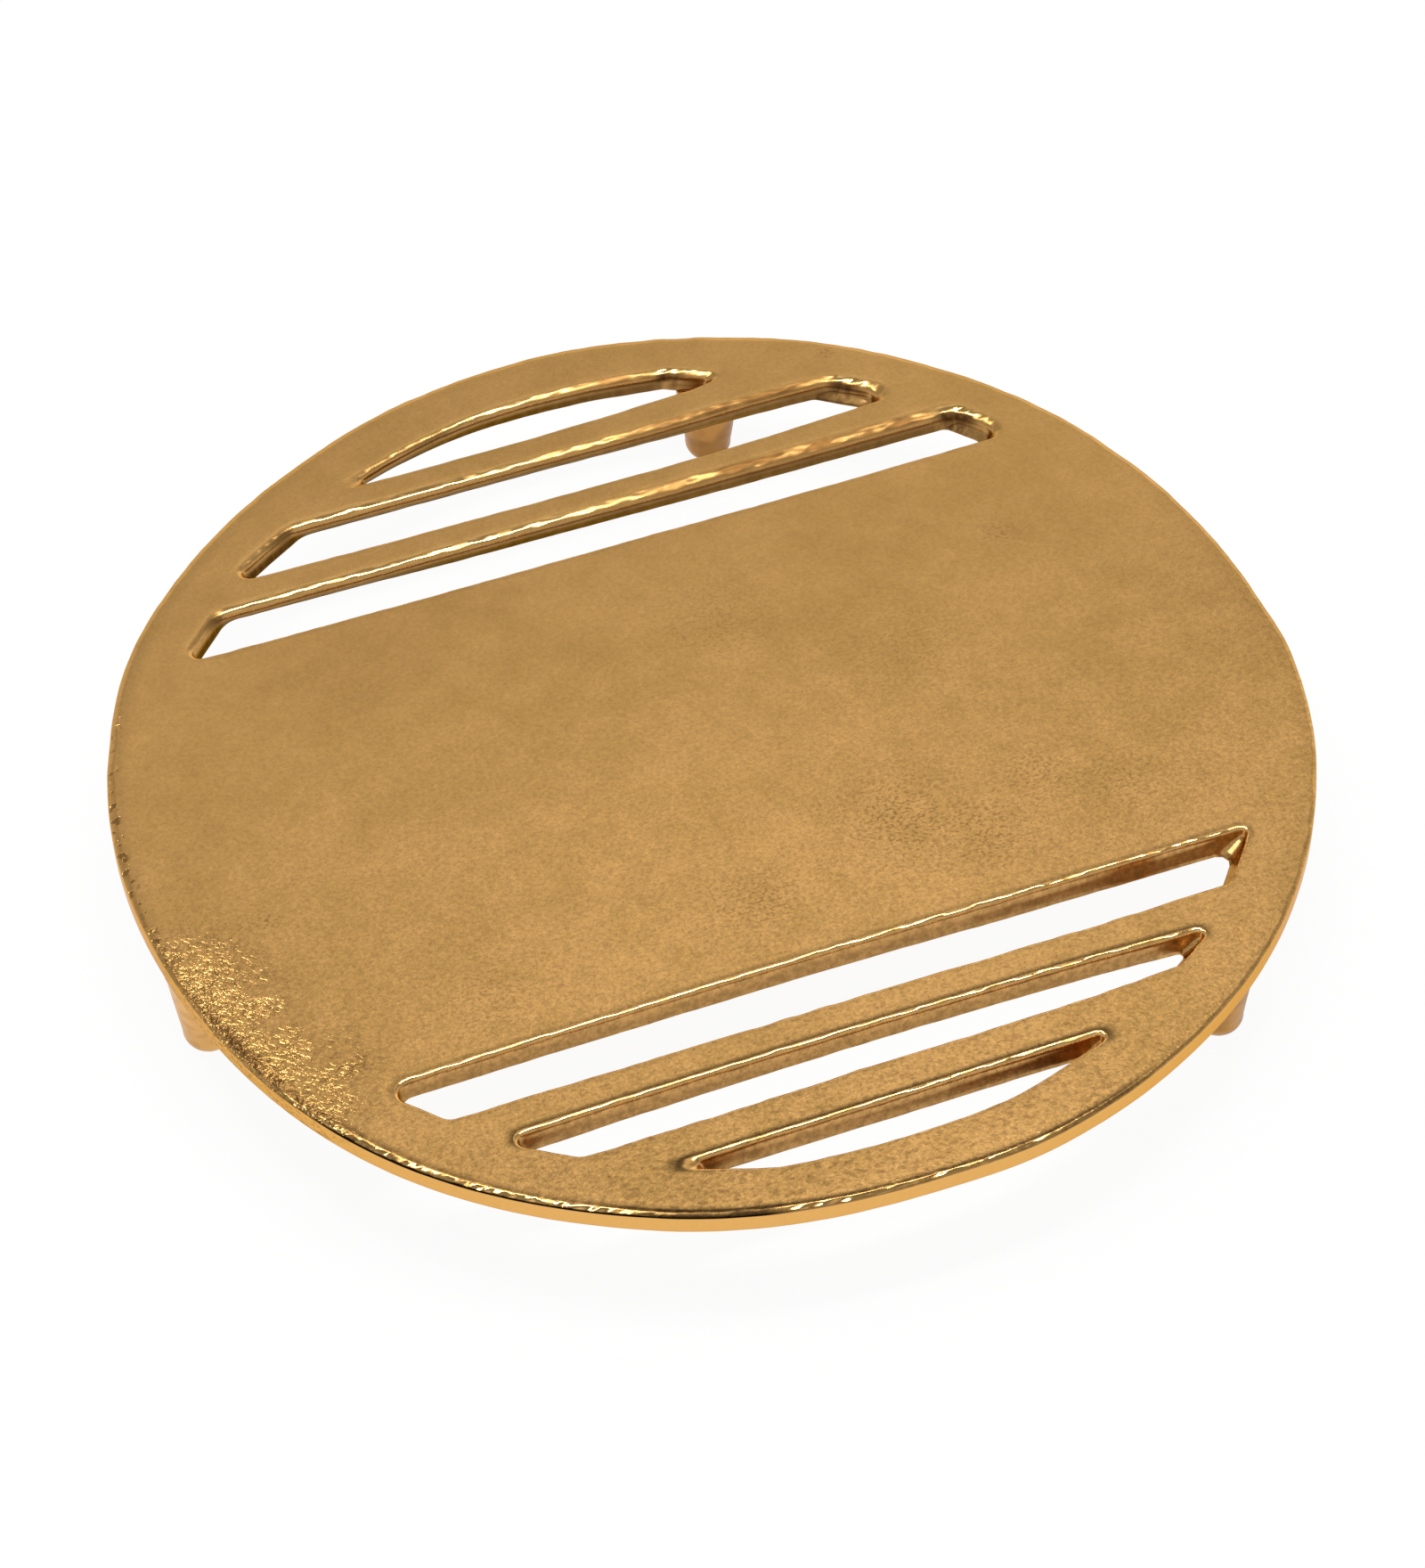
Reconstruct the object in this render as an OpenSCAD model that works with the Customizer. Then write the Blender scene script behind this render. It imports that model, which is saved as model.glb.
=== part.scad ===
// Round cast metal trivet: a flat disc with a plain centre field, a row of three
// slots on each side of it, and three short tapered feet brazed under the rim.
// Origin: centre of the disc, on the table. +Z up, +X along the slots, +Y to the far row.

/* [Plate] */
// Diameter of the disc
plate_d = 200; // [150:1:260]
// Thickness of the disc
plate_t = 4; // [3.5:0.1:6]
// Width of the plain rim outside the slots
rim_w = 10; // [9.5:0.1:16]
// Rounding of the disc's upper edge
top_edge_r = 1; // [0.2:0.1:1.6]
// Rounding of the disc's lower edge
under_edge_r = 0.5; // [0.1:0.1:1]

/* [Far slots] */
// Width of the long slot beside the centre field
far_long_slot_w = 9.7; // [6:0.1:12]
// Width of the bar between the long slot and the middle slot
far_inner_bar_w = 5.3; // [3:0.1:8]
// Width of the middle slot
far_mid_slot_w = 10.6; // [6:0.1:12]
// Width of the bar between the middle slot and the cap slot
far_outer_bar_w = 4.9; // [3:0.1:8]
// Depth of the cap slot, from its straight side to the rim
far_cap_slot_w = 9.7; // [6:0.1:14]

/* [Near slots] */
// Width of the long slot beside the centre field
near_long_slot_w = 10.9; // [6:0.1:13]
// Width of the bar between the long slot and the middle slot
near_inner_bar_w = 6.1; // [3:0.1:8]
// Width of the middle slot
near_mid_slot_w = 8.6; // [6:0.1:12]
// Width of the bar between the middle slot and the cap slot
near_outer_bar_w = 6.4; // [3:0.1:8]
// Depth of the cap slot, from its straight side to the rim
near_cap_slot_w = 7.9; // [6:0.1:14]

/* [Slot corners] */
// Corner radius of the long and middle slots
slot_corner_r = 2; // [0.5:0.1:2.5]
// Radius of the far cap slot's pointed left end
far_left_tip_r = 1.4; // [0.5:0.1:2.2]
// Radius of the far cap slot's blunt right end
far_right_tip_r = 2.1; // [0.5:0.1:2.5]
// Radius of both pointed ends of the near cap slot
near_tip_r = 1; // [0.5:0.1:1.5]

/* [Feet] */
// Height of a foot, from the table to the disc's underside
foot_h = 18; // [10:0.5:40]
// Diameter of a foot where it meets the disc
foot_top_d = 11.7; // [9:0.1:12]
// Diameter of a foot just above its rounded end
foot_end_d = 8.4; // [6:0.1:9]
// Diameter of the small flat that a foot stands on
foot_flat_d = 1.5; // [1:0.1:4]
// Distance from the disc's edge to a foot's axis
foot_inset = 6.5; // [6:0.1:6.8]
// Place of the back foot round the disc, in degrees from +X
back_foot_angle = 69.5; // [50:0.5:90]
// Place of the left foot round the disc, in degrees from +X
left_foot_angle = 188; // [170:0.5:205]
// Place of the right foot round the disc, in degrees from +X
right_foot_angle = 311; // [295:0.5:330]

/* [Foot joints] */
// Diameter of the spigot on top of a foot
spigot_d = 5; // [3:0.1:5.8]
// Height of the spigot
spigot_h = 2.2; // [1:0.1:2.4]
// Gap round the spigot for the braze
braze_gap = 0.05; // [0.02:0.01:0.15]
// Gap above the spigot for the braze
braze_top_gap = 0.15; // [0.05:0.05:0.3]
// Chamfer that leads the spigot into its socket
spigot_chamfer = 0.4; // [0.1:0.1:0.8]

/* [Hidden] */
$fn = 180;

// Metal as the photo shows it
cast_gold = [0.75, 0.57, 0.33];

plate_r = plate_d / 2;
underside_z = foot_h;
// Circle that bounds the outer ends of all slots
slot_arc_r = plate_r - rim_w;
foot_ring_r = plate_r - foot_inset;
// How far every cut runs past the face it opens
cut_over = 1;

// One row, from the rim inwards: cap slot, bar, middle slot, bar, long slot
far_row = [far_cap_slot_w, far_outer_bar_w, far_mid_slot_w, far_inner_bar_w, far_long_slot_w];
near_row = [near_cap_slot_w, near_outer_bar_w, near_mid_slot_w, near_inner_bar_w, near_long_slot_w];

// Distance from the disc's middle to the inner side of the row's first n bands
function band_y(row, n) = n == 0 ? slot_arc_r : band_y(row, n - 1) - row[n - 1];

// How far a corner's round reaches past the two sides that it joins, so that it crosses them
round_reach = 0.005;

// Middle of the round that joins a straight side to the slot's end arc.
// inward is 1 where the slot lies above the side, and -1 where it lies below it.
function corner_y(side_y, inward, r) = side_y + inward * (r - round_reach);
function corner_x(side_y, inward, r) =
    sqrt(pow(slot_arc_r - r + round_reach, 2) - pow(corner_y(side_y, inward, r), 2));

// Sharp material left outside the round of one corner
module corner_waste(side_y, inward, r) {
    middle = [corner_x(side_y, inward, r), corner_y(side_y, inward, r)];
    out = middle / norm(middle);
    past_y = side_y - inward * cut_over;
    past_r = slot_arc_r + cut_over;
    difference() {
        polygon([
            middle,
            [middle[0], past_y],
            [(past_r - out[1] * past_y) / out[0], past_y],
            out * past_r
        ]);
        translate(middle)
            circle(r);
    }
}

// Outline of a slot between two straight sides, with its ends on the slot arc
module slot_outline(inner_y, outer_y) {
    difference() {
        intersection() {
            circle(slot_arc_r);
            translate([-plate_r, inner_y])
                square([plate_d, outer_y - inner_y]);
        }
        for (side = [0, 1])
            mirror([side, 0]) {
                corner_waste(inner_y, 1, slot_corner_r);
                corner_waste(outer_y, -1, slot_corner_r);
            }
    }
}

// Outline of the outermost slot: one straight side and the slot arc.
// tips holds the radii of its right and left ends.
module cap_slot_outline(inner_y, tips) {
    difference() {
        intersection() {
            circle(slot_arc_r);
            translate([-plate_r, inner_y])
                square([plate_d, plate_r]);
        }
        for (side = [0, 1])
            mirror([side, 0])
                corner_waste(inner_y, 1, tips[side]);
    }
}

module slot_row(row, tips) {
    translate([0, 0, underside_z - cut_over])
        linear_extrude(height = plate_t + 2 * cut_over) {
            cap_slot_outline(band_y(row, 1), tips);
            slot_outline(band_y(row, 3), band_y(row, 2));
            slot_outline(band_y(row, 5), band_y(row, 4));
        }
}

// Square corner with its round taken out, to be cut from an edge of the disc
module edge_waste(r) {
    difference() {
        square(r + cut_over);
        circle(r);
    }
}

module disc() {
    rotate_extrude()
        difference() {
            translate([0, underside_z])
                square([plate_r, plate_t]);
            translate([plate_r - top_edge_r, underside_z + plate_t - top_edge_r])
                edge_waste(top_edge_r);
            translate([plate_r - under_edge_r, underside_z + under_edge_r])
                mirror([0, 1])
                    edge_waste(under_edge_r);
        }
}

module at_foot(angle) {
    rotate([0, 0, angle])
        translate([foot_ring_r, 0, 0])
            children();
}

module foot_socket() {
    translate([0, 0, underside_z - cut_over])
        cylinder(h = spigot_h + braze_top_gap + cut_over, d = spigot_d + 2 * braze_gap);
}

module plate() {
    color(cast_gold)
        difference() {
            disc();
            slot_row(far_row, [far_right_tip_r, far_left_tip_r]);
            mirror([0, 1, 0])
                slot_row(near_row, [near_tip_r, near_tip_r]);
            for (angle = [back_foot_angle, left_foot_angle, right_foot_angle])
                at_foot(angle)
                    foot_socket();
        }
}

// Half section of a foot: straight taper, rounded end with a small flat, spigot on top
module foot_section() {
    end_r = (foot_end_d - foot_flat_d) / 2;
    end_middle = [foot_flat_d / 2, end_r];
    to_top = [foot_top_d / 2, foot_h] - end_middle;
    // Lean of the side, which leaves the end round without a crease
    lean = atan2(to_top[0], to_top[1]) - asin(end_r / norm(to_top));
    touch = end_middle + end_r * [cos(lean), -sin(lean)];
    spigot_r = spigot_d / 2;
    polygon([
        [0, 0],
        [foot_flat_d / 2, 0],
        end_middle,
        touch,
        [foot_top_d / 2, foot_h],
        [spigot_r, foot_h],
        [spigot_r, foot_h + spigot_h - spigot_chamfer],
        [spigot_r - spigot_chamfer, foot_h + spigot_h],
        [0, foot_h + spigot_h]
    ]);
    intersection() {
        translate(end_middle)
            circle(end_r);
        square([foot_top_d, foot_h]);
    }
}

module foot(angle) {
    at_foot(angle)
        rotate_extrude()
            foot_section();
}

module back_foot() {
    color(cast_gold)
        foot(back_foot_angle);
}

module left_foot() {
    color(cast_gold)
        foot(left_foot_angle);
}

module right_foot() {
    color(cast_gold)
        foot(right_foot_angle);
}

plate();
back_foot();
left_foot();
right_foot();
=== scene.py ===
import itertools
import math

import bpy
import numpy as np
from mathutils import Matrix, Vector, geometry, kdtree


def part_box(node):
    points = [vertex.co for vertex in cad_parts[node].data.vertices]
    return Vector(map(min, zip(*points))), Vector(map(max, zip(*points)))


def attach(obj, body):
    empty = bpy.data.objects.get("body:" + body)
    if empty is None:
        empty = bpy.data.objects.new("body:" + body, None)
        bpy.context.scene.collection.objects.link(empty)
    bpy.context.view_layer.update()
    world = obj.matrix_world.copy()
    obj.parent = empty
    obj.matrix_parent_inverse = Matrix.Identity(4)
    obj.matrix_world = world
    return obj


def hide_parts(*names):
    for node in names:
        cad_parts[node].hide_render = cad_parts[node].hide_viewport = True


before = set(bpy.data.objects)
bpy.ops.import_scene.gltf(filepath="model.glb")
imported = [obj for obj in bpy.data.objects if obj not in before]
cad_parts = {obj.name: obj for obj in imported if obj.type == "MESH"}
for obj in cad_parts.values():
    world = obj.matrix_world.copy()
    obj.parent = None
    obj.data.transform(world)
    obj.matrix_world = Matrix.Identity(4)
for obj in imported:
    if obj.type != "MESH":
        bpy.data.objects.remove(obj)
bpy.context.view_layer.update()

# A round cast trivet: a slotted disc on three peg feet, in satin gold-coloured metal.
# Lengths are in metres and angles in degrees, unless a comment says otherwise.

# Disc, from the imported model
PLATE_LOW, PLATE_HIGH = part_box("plate")
PLATE_R = (PLATE_HIGH[0] - PLATE_LOW[0]) / 2
TOP_Z = PLATE_HIGH[2]
UNDER_Z = PLATE_LOW[2]
MM = 0.001

# Slots as they were cast, drawn by their corners in millimetres, counter-clockwise from above.
# Each row: x, y, corner radius at the top face, corner radius at the underside, and then for
# the side that starts at the corner: reach of the top edge's round, and lean of the wall into
# the slot. A radius of 0 stands for a soft bend.
FAR_LONG = (
    (-75.3, 50.3, 1.4, 1.4, 0.8, 0.0), (-30.0, 50.05, 0, 0, 0.8, 0.0), (5.0, 50.4, 0, 0, 0.8, 0.0),
    (35.0, 50.35, 0, 0, 0.8, 0.0), (75.3, 51.0, 3.0, 3.2, 2.9, 1.2), (68.9, 59.1, 3.8, 2.6, 3.3, -0.15),
    (30.0, 58.95, 0, 0, 3.0, -0.4), (0.0, 58.9, 0, 0, 2.2, -0.75), (-30.0, 58.75, 0, 0, 2.2, -1.5),
    (-46.0, 58.7, 0, 0, 2.2, -1.9), (-67.5, 58.6, 4.0, 4.5, 1.9, 0.1),
)
FAR_MIDDLE = (
    (-63.1, 65.75, 1.3, 1.4, 0.8, 0.0), (-30.0, 65.35, 0, 0, 0.8, 0.0), (22.0, 65.5, 0, 0, 0.8, 0.0),
    (43.0, 66.3, 0, 0, 0.8, 0.0), (61.0, 67.6, 2.4, 2.6, 2.6, 1.4), (51.2, 74.8, 2.4, 2.6, 2.2, -0.2),
    (38.0, 75.0, 0, 0, 2.2, -0.5), (18.0, 74.4, 0, 0, 2.2, -1.75), (-20.0, 74.2, 0, 0, 2.2, -1.5),
    (-49.5, 74.2, 4.0, 4.5, 1.9, 0.1),
)
FAR_CAP = (
    (-37.3, 80.9, 0.9, 0.8, 0.8, 0.0), (-12.0, 80.75, 0, 0, 0.8, 0.0), (10.0, 81.4, 0, 0, 0.8, 0.0),
    (28.0, 82.5, 3.0, 3.0, 1.0, 0.4), (32.8, 83.5, 1.2, 1.2, 2.0, 0.3), (25.6, 87.3, 1.6, 1.2, 2.1, -0.1),
    (12.0, 89.15, 0, 0, 2.1, -0.6), (0.0, 89.5, 0, 0, 2.0, -0.7), (-10.0, 88.9, 0, 0, 1.7, -0.9),
    (-19.0, 87.2, 0, 0, 1.4, -1.3), (-28.0, 84.5, 0, 0, 1.9, -1.4),
)
NEAR_LONG = (
    (-74.2, -51.3, 2.0, 2.2, 1.0, 0.2), (-66.4, -60.5, 2.4, 2.8, 1.0, 0.0),
    (0.0, -60.45, 0, 0, 1.0, 0.0), (45.0, -60.65, 0, 0, 1.0, 0.0), (67.3, -60.1, 2.8, 3.0, 0.9, 1.5),
    (75.0, -50.45, 0.7, 3.0, 1.2, 1.25), (40.0, -50.55, 0, 0, 1.2, 0.5), (0.0, -50.35, 0, 0, 1.2, 0.45),
    (-50.0, -50.75, 0, 0, 1.2, 0.15),
)
NEAR_MIDDLE = (
    (-60.3, -67.8, 1.2, 1.6, 1.0, 0.2), (-49.7, -75.0, 2.4, 2.8, 1.0, 0.0),
    (-30.0, -75.05, 0, 0, 1.0, 0.0), (-10.0, -74.55, 0, 0, 1.0, 0.0), (14.0, -74.45, 0, 0, 1.0, 0.0),
    (36.0, -74.25, 0, 0, 1.0, 0.0), (52.4, -73.25, 2.6, 3.0, 0.9, 1.5), (59.8, -68.2, 0.7, 1.8, 1.2, 0.65),
    (38.0, -67.45, 0, 0, 1.2, -0.05), (0.0, -67.15, 0, 0, 1.2, 0.2), (-38.0, -67.35, 0, 0, 1.2, 0.8),
)
NEAR_CAP = (
    (-36.6, -82.6, 0.9, 1.0, 1.0, 0.3), (-28.0, -86.0, 0, 0, 1.0, 0.2), (-22.4, -88.1, 0, 0, 1.0, 0.0),
    (-12.0, -89.2, 0, 0, 1.0, 0.0), (0.0, -89.7, 0, 0, 1.0, 0.0), (12.0, -89.25, 0, 0, 1.0, 0.0),
    (21.0, -87.65, 0, 0, 1.0, 0.4), (37.9, -82.1, 0.6, 1.2, 1.2, 0.95), (18.0, -82.05, 0, 0, 1.2, 0.85),
    (0.0, -82.35, 0, 0, 1.2, 0.65), (-22.0, -82.45, 0, 0, 1.2, 0.5),
)

# Rounded edges, from the top face down: lean in degrees, and length in millimetres
FAR_EDGE = (
    (3, 0.30), (7, 0.30), (12, 0.30), (17, 0.25), (21, 0.25), (25, 0.25), (33, 0.25), (46, 0.25),
    (60, 0.30), (74, 0.35), (83, 0.40),
)
NEAR_EDGE = (
    (4, 0.28), (10, 0.20), (16, 0.12), (20, 0.12), (24, 0.11), (36, 0.18), (52, 0.22), (68, 0.26),
    (78, 0.35), (85, 0.45),
)
RIM_EDGE = (
    (6, 0.14), (12, 0.10), (17, 0.16), (20, 0.26), (24, 0.26), (33, 0.08), (49, 0.08), (67, 0.10),
    (80, 0.14),
)
# Each slot: its corners, its edge, the edge's drop in millimetres, how dark the painted shade at the foot
# of its walls is, and how dark a painted shade line runs along the top of the edge
SLOT_ROWS = (
    (FAR_LONG, FAR_EDGE, 1.7, 1.0, 0.0), (FAR_MIDDLE, FAR_EDGE, 1.7, 1.0, 0.0),
    (FAR_CAP, FAR_EDGE, 1.6, 1.0, 0.0), (NEAR_LONG, NEAR_EDGE, 1.4, 0.34, 0.4),
    (NEAR_MIDDLE, NEAR_EDGE, 1.4, 0.34, 0.7), (NEAR_CAP, NEAR_EDGE, 1.4, 0.34, 0.8),
)

# How the rim strays from a true circle: plan angle, and how far outwards
RIM_STRAY = (
    (0, -0.0010), (10, -0.0011), (22, -0.00065), (34, 0.00015), (45, 0.00045), (60, 0.0009),
    (71, 0.0008), (82, 0.0010), (100, 0.0004), (118, -0.00035), (130, -0.00015), (148, 0.0006),
    (160, -0.0001), (188, -0.00055), (221, 0.0009), (245, 0.0001), (269, -0.0008), (283, 0.0002),
    (293, 0.0004), (312, 0.0008), (337, 0.0005), (350, 0.0001),
)
# Round of the disc's top edge: plan angle, how far it reaches inwards, and how far it drops
RIM_ROUND = (
    (0, 0.0009, 0.0005), (90, 0.0012, 0.0006), (170, 0.0012, 0.0006), (200, 0.0006, 0.0004),
    (207, 0.0008, 0.0004), (214, 0.0013, 0.0006), (238, 0.0011, 0.0006), (246, 0.0009, 0.0005),
    (260, 0.0010, 0.0005), (276, 0.0009, 0.0005), (290, 0.0007, 0.0005), (320, 0.0007, 0.0004),
)
# Where the top sinks towards the rim: plan angle, and how far it sinks at the rim
RIM_SINK = (
    (0, 0.0001), (90, 0.0002), (180, 0.0002), (193, 0.0006), (204, 0.0008), (214, 0.0003),
    (235, 0.0002), (270, 0.0003), (300, 0.0002),
)
# Painted shade and wear at the rim: plan angle, strength and width of a band of painted shade just
# inside it, strength of the painted dark lines above, on and below the crest of its edge, and its nicks
RIM_TRACES = (
    (0, 0.0, 0.0010, 0.0, 0.0, 0.0, 0.0), (150, 0.0, 0.0010, 0.0, 0.0, 0.0, 0.1),
    (190, 0.20, 0.0016, 0.0, 0.0, 0.0, 0.1), (200, 0.65, 0.0034, 0.1, 0.0, 0.0, 0.3),
    (209, 0.60, 0.0030, 0.2, 0.0, 0.5, 0.6), (214, 0.50, 0.0028, 0.3, 0.1, 1.0, 1.0),
    (238, 0.40, 0.0020, 0.4, 0.1, 1.0, 1.0), (242, 0.40, 0.0018, 0.8, 0.9, 1.0, 0.4),
    (247, 0.50, 0.0018, 0.9, 1.0, 1.0, 0.1), (254, 0.50, 0.0018, 0.9, 1.0, 1.0, 0.1),
    (258, 0.50, 0.0018, 0.8, 0.0, 0.5, 1.0), (275, 0.45, 0.0016, 0.8, 0.0, 0.3, 1.0),
    (283, 0.30, 0.0012, 0.8, 0.2, 0.4, 0.6), (289, 0.10, 0.0010, 0.7, 0.6, 0.3, 0.1),
    (294, 0.0, 0.0010, 0.3, 0.1, 0.0, 0.0), (300, 0.0, 0.0010, 0.0, 0.0, 0.0, 0.0),
)
# How far in from the rim the top sinks
RIM_SINK_W = 0.0032
# Rings of the top just inside the rim's round: margin, and share of the painted dark line above the crest
RIM_MARGINS = (
    (0.0034, 0), (0.0026, 0), (0.0018, 0), (0.0012, 0), (0.0007, 0.4), (0.0003, 1),
)
# Round of the disc's lower edges, and the number of rings that draw it at the rim and in a slot
UNDER_ROUND = 0.00045
RIM_UNDER_STEPS = 4
SLOT_UNDER_STEPS = 3
# Flat ring of the top that borders every slot
SLOT_MARGIN = 0.0008
# Rings down the rim's side and down a slot's wall, as shares of the way
SIDE_PARTS = (0.25, 0.5, 0.75)
WALL_PARTS = (0.25, 0.5, 0.75, 1.0)

# Feet, as in the imported model: radii at the disc, above the rounded end and of the flat.
# Each foot has its own flare, where it runs into the disc, and its own share of painted shade, which
# darkens its colour and its stains.
FOOT_TOP_R = 0.00585
FOOT_END_R = 0.0042
FOOT_FLAT_R = 0.00075
FEET = {"back_foot": (0.0003, 1.0), "left_foot": (0.0014, 0.0), "right_foot": (0.0004, 0.75)}
FOOT_SIDES = 72
FOOT_END_STEPS = 10
FOOT_TAPER_STEPS = 20
# How far a foot's top reaches into the disc, and how far its flare stays inside the rim
FOOT_BURIED = 0.00025
FOOT_CLEAR = 0.0002

# Patches with denser dark flecks: place, radius and strength, in millimetres
MARKS = (
    (64, 28, 2.5, 0.5), (23, -28, 9, 0.7), (34, -35, 7, 0.6), (-5, -36, 7, 0.5), (48, -27, 5, 0.5),
    (60, -33, 5, 0.45), (-78.6, -45, 1.8, 1.0), (-75.7, -45, 1.8, 1.0), (-80, -11, 1.6, 0.8),
    (53, 82, 1.3, 1.0), (-52, -40, 6, 0.4), (12, 26, 9, 0.3), (40, 8, 10, 0.2),
)

# Broad patches of painted light and shade on the top, with some real drift of its tone: place and
# radius in millimetres, and how much lighter
LIGHT_AND_TONE_PATCHES = (
    (-8, -20, 42, 0.06), (-78, 0, 30, -0.01), (78, 14, 34, -0.02),
    (0, 66, 60, -0.10), (64, 28, 5, -0.04), (-45, 40, 22, -0.03), (-60, -52, 16, 0.03),
    (98, 5, 24, -0.08), (-53, -80, 8, -0.07), (-38, -88, 8, -0.07), (40, -82, 36, 0.07),
    (-4, -95, 18, 0.05),
)

# Unevenness of the casting: size of its bumps, seed of their pattern, and how high they are on
# the flats, how much more on a rounded edge and how much more on a wall
CAST_WAVES = (
    (0.034, 1, 0.00010, 0.0, 0.0), (0.011, 2, 0.00003, 0.0, 0.0),
    (0.0034, 3, 0.00002, 0.00006, 0.00003), (0.0017, 4, 0.000006, 0.00004, 0.00001),
)
# Depth of the wrinkles in the coarse zone
WRINKLE_DEPTH = 0.00015

# Spacing of the mesh: along loops, round corners, on the top, in the coarse zone and below
LOOP_STEP = 0.0008
TURN_STEP = 0.00045
TOP_STEP = 0.00095
ROUGH_STEP = 0.00055
UNDER_STEP = 0.0018
# Grid points keep this far in from the rim on the top and on the underside
TOP_MARGIN = 0.003
UNDER_MARGIN = 0.0005
# A turn smaller than this, in radians, is a soft bend
SOFT_BEND = 0.25
SMALLEST_CORNER_R = 0.0003

# Zone beside the left rim where the casting came out coarse: plan angles, inner radius, and how
# far it takes to grow to its full strength
ROUGH_FROM, ROUGH_TO = 185, 216
ROUGH_INNER_R = 0.079
ROUGH_FADE = 12
ROUGH_FADE_R = 0.016
# The zone counts as coarse above this share
ROUGH_SHARE = 0.1
# Row of small dark dimples at the left rim: plan angles
DIMPLES_FROM, DIMPLES_TO = 150, 200

# Camera, fitted to the photo
CAMERA_AZIMUTH = -19.85
CAMERA_ELEVATION = 46.89
CAMERA_ROLL = -1.396
CAMERA_DISTANCE = 0.8426
CAMERA_TARGET = (-0.0029, -0.0092, TOP_Z)
CAMERA_LENS_MM = 117.43


# Small helpers for numbers

def smooth(t):
    """0 to 1 with flat ends, for any t."""
    t = np.clip(t, 0, 1)
    return t * t * (3 - 2 * t)


def around(table, angle, column=1):
    """A value that goes round the disc, eased between the rows of a table of plan angles."""
    angles = np.array([row[0] for row in table], float)
    values = np.array([row[column] for row in table], float)
    angle = np.mod(angle, 360)
    after = np.searchsorted(angles, angle, side="right")
    before = after - 1
    low = np.where(before < 0, angles[-1] - 360, angles[before])
    high = np.where(after >= len(angles), angles[0] + 360, angles[after % len(angles)])
    part = smooth((angle - low) / (high - low))
    return values[before] * (1 - part) + values[after % len(angles)] * part


def lattice_noise(points, cell, seed):
    """Smooth chance values from -1 to 1, about one bump in each cell."""
    size = 48
    table = np.random.default_rng(seed).uniform(-1, 1, (size, size, size))
    grid = points / cell
    low = np.floor(grid).astype(np.int64)
    part = grid - low
    ease = part ** 3 * (part * (part * 6 - 15) + 10)
    total = np.zeros(len(points))
    for corner in itertools.product((0, 1), repeat=3):
        weight = np.prod(np.where(corner, ease, 1 - ease), axis=1)
        x, y, z = ((low + corner) % size).T
        total += weight * table[x, y, z]
    return total


def plan_angle(points):
    return np.degrees(np.arctan2(points[:, 1], points[:, 0]))


def plan_radius(points):
    return np.hypot(points[:, 0], points[:, 1])


def rim_radius(angle):
    return PLATE_R + around(RIM_STRAY, angle)


def rim_sink(angle, from_rim):
    """How far the top lies below its plane at a distance in from the rim."""
    return around(RIM_SINK, angle) * np.clip(1 - from_rim / RIM_SINK_W, 0, 1) ** 1.5


# Outlines of the slots

def turned(vector, angle):
    c, s = math.cos(angle), math.sin(angle)
    return np.array([vector[0] * c - vector[1] * s, vector[0] * s + vector[1] * c])


class Edge:
    """The round of an edge: its leans, and its shares of reach and drop from the top face down."""

    def __init__(self, rows):
        lean, length = np.radians([row[0] for row in rows]), np.array([row[1] for row in rows])
        out = np.concatenate([[0], np.cumsum(length * np.cos(lean))])
        down = np.concatenate([[0], np.cumsum(length * np.sin(lean))])
        self.inset = 1 - out / out[-1]
        self.drop = down / down[-1]
        middle = (lean[1:] + lean[:-1]) / 2
        self.lean = np.concatenate([[0], middle, [math.pi / 2]]) * 2 / math.pi


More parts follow.
